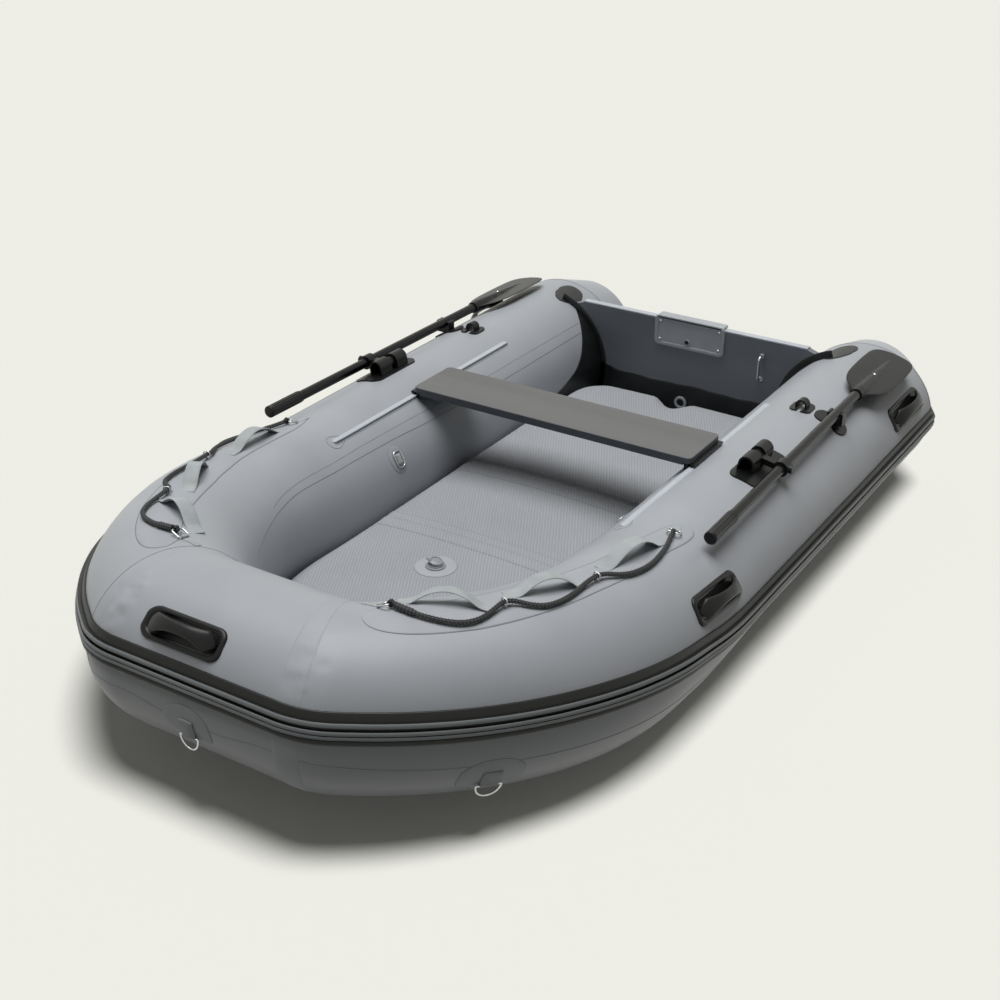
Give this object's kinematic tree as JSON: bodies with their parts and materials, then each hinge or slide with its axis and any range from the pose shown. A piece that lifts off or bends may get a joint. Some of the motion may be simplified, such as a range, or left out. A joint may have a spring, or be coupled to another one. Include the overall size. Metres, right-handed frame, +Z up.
{
  "type": "inflatable boat",
  "caption": "Inflatable dinghy with round side tubes, an air floor, a board transom, a sliding thwart and a pair of stowed oars.",
  "frame": {"origin": "on the floor under the middle of the boat's length and beam", "axes": "+X to port, +Y aft, +Z up"},
  "size_m": [1.5468, 2.6391, 0.5477],
  "materials": {
    "tube_fabric": "matte coated fabric",
    "deck_fabric": "matte diamond-textured coated fabric",
    "strake_rubber": "satin black rubber",
    "board": "satin black coated board",
    "thwart_board": "matte grey coated board",
    "black_plastic": "matte moulded plastic",
    "valve_plastic": "matte moulded plastic",
    "oar_tube": "black anodised",
    "steel": "bright stainless wire",
    "rope": "braided black rope",
    "webbing": "woven grey webbing"
  },
  "bodies": {
    "hull": {"air_deck": "deck_fabric", "bottom_hull": "tube_fabric", "carry_handle_bow": "black_plastic", "carry_handle_port_aft": "black_plastic", "carry_handle_port_fore": "black_plastic", "carry_handle_starboard_aft": "black_plastic", "carry_handle_starboard_fore": "black_plastic", "deck_valve": "valve_plastic", "drain_ring": "black_plastic", "grab_loops_port": "webbing", "grab_loops_starboard": "webbing", "lashing_loop_port": "black_plastic", "lashing_loop_starboard": "black_plastic", "lifeline_eyes_port": "rope", "lifeline_eyes_starboard": "rope", "lifeline_guide_rings": "steel", "lifeline_guide_straps": "webbing", "lifeline_port": "rope", "lifeline_ring_straps": "webbing", "lifeline_rings": "steel", "lifeline_starboard": "rope", "motor_pad_inner": "black_plastic", "motor_pad_outer": "black_plastic", "oar_clip_port": "black_plastic", "oar_clip_starboard": "black_plastic", "oarlock_base_port": "black_plastic", "oarlock_base_starboard": "black_plastic", "oarlock_pin_port": "steel", "oarlock_pin_starboard": "steel", "rubbing_strake_bow": "strake_rubber", "rubbing_strake_port": "strake_rubber", "rubbing_strake_starboard": "strake_rubber", "seat_rail_port": "black_plastic", "seat_rail_starboard": "black_plastic", "stern_cone_port": "tube_fabric", "stern_cone_starboard": "tube_fabric", "tie_down_rings": "steel", "tie_down_straps": "webbing", "tow_ring_straps": "webbing", "tow_rings": "steel", "transom": "board", "transom_cap": "black_plastic", "transom_eye": "steel", "transom_flange_port": "strake_rubber", "transom_flange_starboard": "strake_rubber", "tube_bow": "tube_fabric", "tube_port": "tube_fabric", "tube_starboard": "tube_fabric"},
    "thwart": {"thwart": "thwart_board", "thwart_runner_port": "black_plastic", "thwart_runner_starboard": "black_plastic"},
    "oar_port": {"oar_shaft_port": "oar_tube", "oar_grip_port": "black_plastic", "oar_blade_port": "black_plastic", "oarlock_collar_port": "black_plastic"},
    "oar_starboard": {"oar_shaft_starboard": "oar_tube", "oar_grip_starboard": "black_plastic", "oar_blade_starboard": "black_plastic", "oarlock_collar_starboard": "black_plastic"}
  },
  "joints": [
    {"name": "thwart_slide", "type": "slide", "parent": "hull", "child": "thwart", "axis": [0, 1, 0], "range_m": [-0.36, 0.3]},
    {"name": "oar_lift_port", "type": "hinge", "parent": "hull", "child": "oar_port", "pos_m": [0.58354, 0.188, 0.46128], "axis": [0, -1, 0], "range_deg": [0, 120]},
    {"name": "oar_lift_starboard", "type": "hinge", "parent": "hull", "child": "oar_starboard", "pos_m": [-0.58354, 0.188, 0.46128], "axis": [0, 1, 0], "range_deg": [0, 120]}
  ]
}
